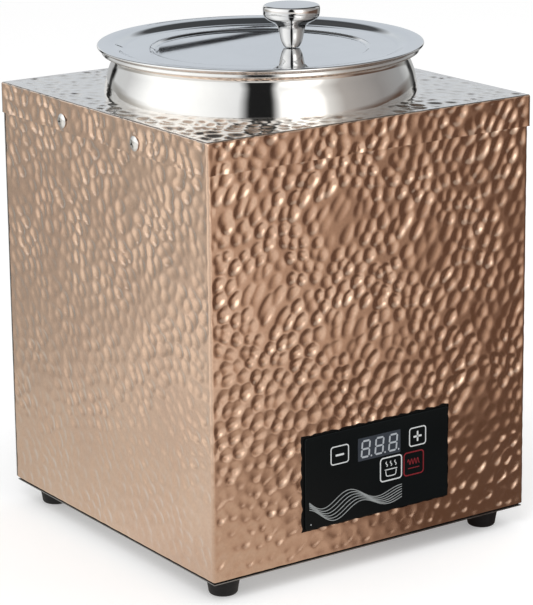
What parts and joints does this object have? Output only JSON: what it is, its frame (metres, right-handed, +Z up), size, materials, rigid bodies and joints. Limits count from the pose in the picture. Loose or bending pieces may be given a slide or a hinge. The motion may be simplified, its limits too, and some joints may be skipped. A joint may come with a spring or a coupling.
{
  "type": "electric soup warmer",
  "caption": "Square countertop soup warmer: hammered rose-copper cabinet, polished steel neck, lift-out round pot with knobbed lid, black touch control panel and rubber feet.",
  "frame": {"origin": "on the floor under the middle of the cabinet", "axes": "+Z up, -Y towards the side with the control panel, +X to its right"},
  "size_m": [0.305, 0.3027, 0.419],
  "materials": {
    "hammered_copper": "hammered, rose-copper coloured, glossy",
    "polished_steel": "mirror polished stainless steel",
    "plain_steel": "plain sheet steel",
    "aluminium": "cast",
    "brass": "nickel-free brass",
    "black_rubber": "matt",
    "panel_black": "glossy black with light printing",
    "black_plastic": "moulded",
    "display_grey": "display module",
    "board_green": "circuit board",
    "block_white": "ceramic white",
    "relay_blue": "moulded",
    "insulation": "mineral wool",
    "wire_jacket": "heat resistant lead jacket"
  },
  "bodies": {
    "cabinet": {"top_cover": "hammered_copper", "cabinet_wrap": "hammered_copper", "rear_panel": "plain_steel", "base_pan": "plain_steel", "foot_front_left": "black_rubber", "foot_front_right": "black_rubber", "foot_rear_left": "black_rubber", "foot_rear_right": "black_rubber", "foot_screw_front_left": "plain_steel", "foot_screw_front_right": "plain_steel", "foot_screw_rear_left": "plain_steel", "foot_screw_rear_right": "plain_steel", "cover_screw_left_front": "polished_steel", "cover_screw_left_rear": "polished_steel", "cover_screw_right_front": "polished_steel", "cover_screw_right_rear": "polished_steel", "rear_screw_left_low": "plain_steel", "rear_screw_left_high": "plain_steel", "rear_screw_right_low": "plain_steel", "rear_screw_right_high": "plain_steel", "neck_collar": "polished_steel", "well_liner": "plain_steel", "insulation_jacket": "insulation", "heating_plate": "aluminium", "heater_clamp": "plain_steel", "clamp_bolt": "plain_steel", "heater_terminal_left": "brass", "heater_terminal_right": "brass", "thermal_cutout": "block_white", "temperature_probe": "plain_steel", "control_fascia": "panel_black", "control_housing": "black_plastic", "control_board": "board_green", "display_module": "display_grey", "panel_stud_left": "plain_steel", "panel_stud_right": "plain_steel", "power_board": "board_green", "standoff_left_front": "brass", "standoff_left_rear": "brass", "standoff_right_front": "brass", "standoff_right_rear": "brass", "transformer": "plain_steel", "relay": "relay_blue", "terminal_block": "block_white", "inlet_shell": "black_plastic", "inlet_pin_live": "brass", "inlet_pin_neutral": "brass", "inlet_pin_earth": "brass", "inlet_screw_left": "plain_steel", "inlet_screw_right": "plain_steel", "heater_lead_left": "wire_jacket", "heater_lead_right": "wire_jacket", "probe_lead": "wire_jacket", "control_lead": "wire_jacket", "mains_lead": "wire_jacket"},
    "pot": {"soup_pot": "polished_steel"},
    "lid": {"lid": "polished_steel", "knob": "polished_steel", "knob_screw": "plain_steel", "knob_washer": "plain_steel"}
  },
  "joints": [
    {"name": "pot_lift", "type": "slide", "parent": "cabinet", "child": "pot", "axis": [0, 0, 1], "range_m": [0, 0.3]},
    {"name": "lid_lift", "type": "slide", "parent": "pot", "child": "lid", "axis": [0, 0, 1], "range_m": [0, 0.12]}
  ]
}
